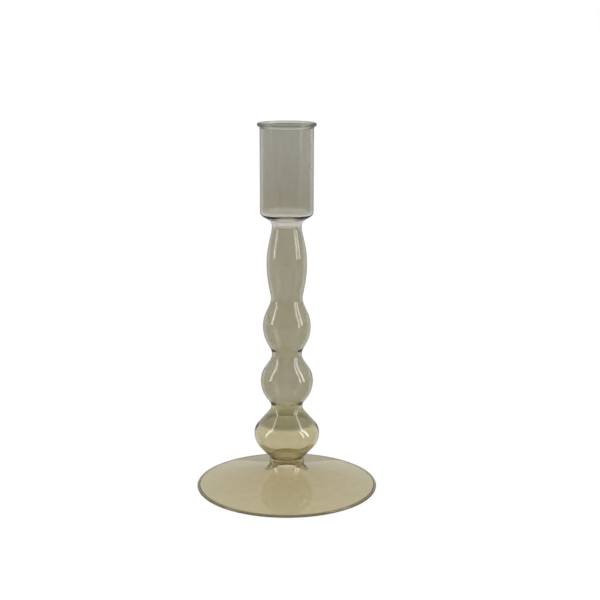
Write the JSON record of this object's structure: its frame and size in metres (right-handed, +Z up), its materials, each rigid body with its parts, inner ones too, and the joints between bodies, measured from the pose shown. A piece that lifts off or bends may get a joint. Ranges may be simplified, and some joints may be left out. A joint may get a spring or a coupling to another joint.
{
  "type": "glass candlestick",
  "caption": "Glass candlestick with a knopped hollow stem, a straight cup for one dinner candle and a thin domed foot.",
  "frame": {"origin": "centre of the foot's underside, on the table that the candlestick stands on", "axes": "+Z up along the axis of the stem, out of the candle cup; +X and +Y are alike, as every piece is turned round +Z"},
  "size_m": [0.09, 0.09, 0.1818],
  "materials": {
    "foot_glass": "clear warm olive glass, fire-polished",
    "stem_glass": "clear olive-grey glass, fire-polished",
    "cup_glass": "clear smoky grey glass, fire-polished"
  },
  "bodies": {
    "root": {"foot": "foot_glass", "foot_collar": "foot_glass", "onion_knop": "foot_glass", "ball_knop": "stem_glass", "oval_knop": "stem_glass", "spindle_knop": "stem_glass", "candle_cup": "cup_glass", "lip_ring": "cup_glass"}
  },
  "joints": []
}
